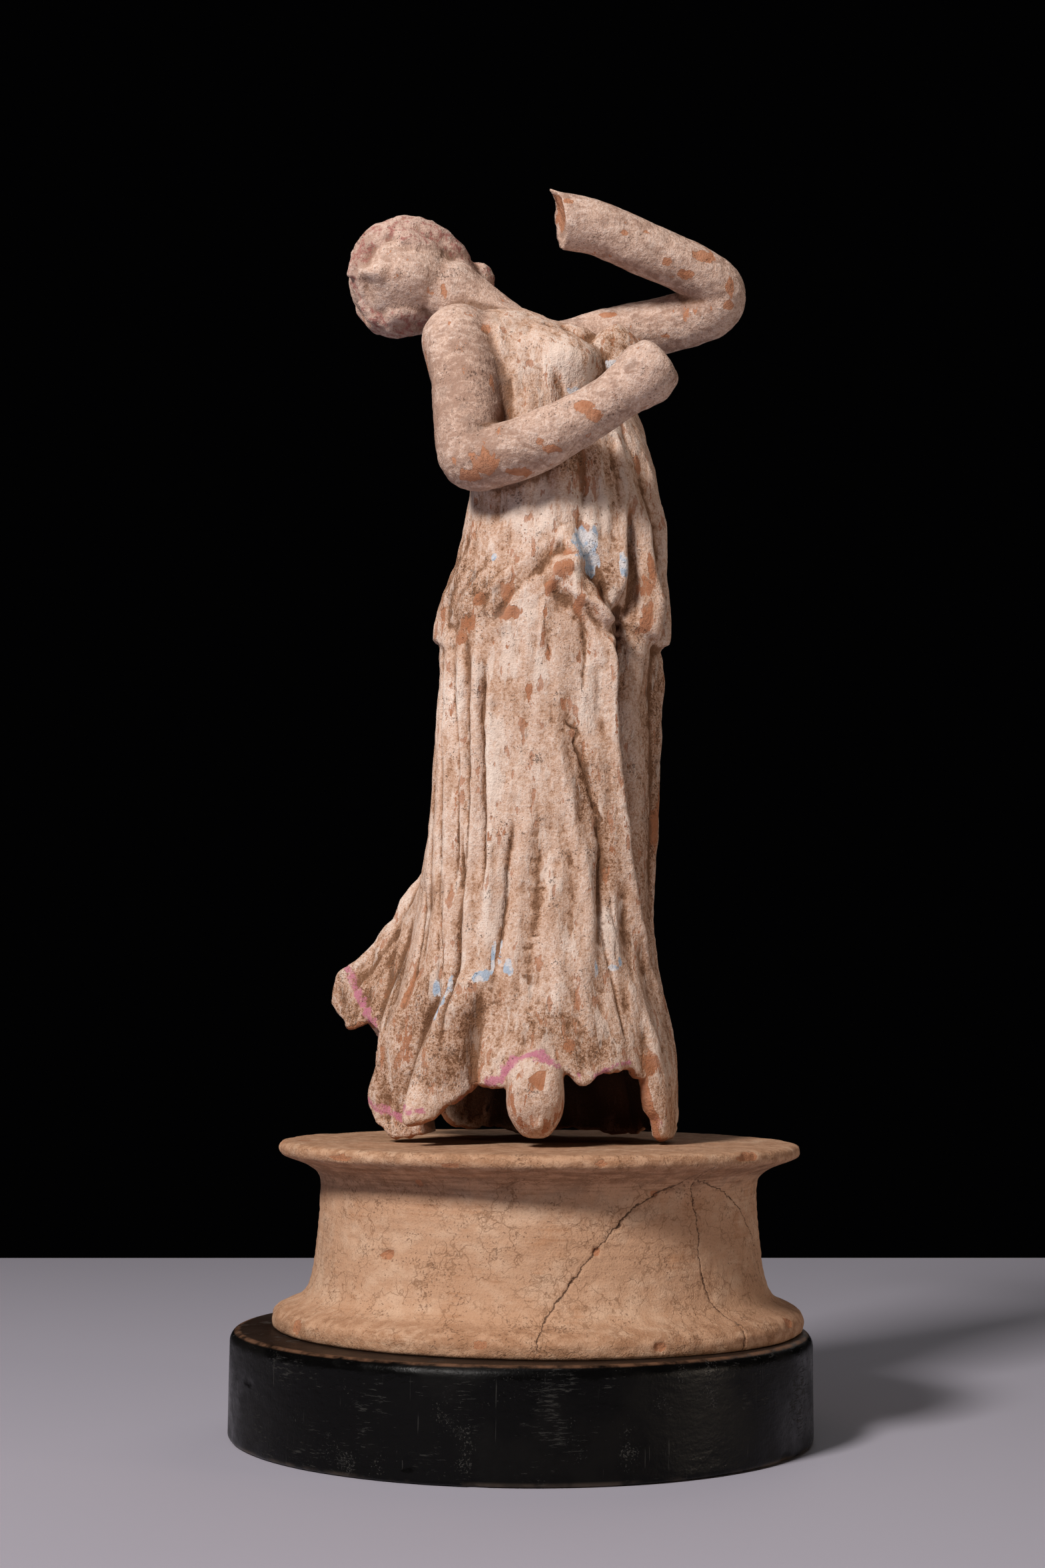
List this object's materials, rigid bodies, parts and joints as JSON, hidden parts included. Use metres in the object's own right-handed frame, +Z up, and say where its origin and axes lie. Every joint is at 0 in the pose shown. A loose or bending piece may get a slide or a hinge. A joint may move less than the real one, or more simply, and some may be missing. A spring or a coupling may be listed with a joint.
{
  "type": "terracotta statuette",
  "caption": "Small hollow terracotta figure of a dancing woman with a thrown-back head and broken arms, on a thrown clay drum and a turned wooden disc.",
  "frame": {"origin": "centre of the wooden board's underside, on the surface that the object stands on", "axes": "+Z up; -Y towards the viewer, the side that the drum's crack and the lifted front of the hem are on; +X to the viewer's right, the side of the raised arm's elbow"},
  "size_m": [0.14, 0.14, 0.3083],
  "materials": {
    "figure_clay": "matt fired clay under a worn, dirty white slip, with traces of pink and pale blue paint",
    "drum_clay": "matt buff fired clay with fine turning lines, hair cracks and chipped lips",
    "black_wood": "old black gloss paint, scuffed, worn brown along the top edge"
  },
  "bodies": {
    "root": {"figure": "figure_clay", "terracotta_drum": "drum_clay", "wooden_board": "black_wood"}
  },
  "joints": []
}
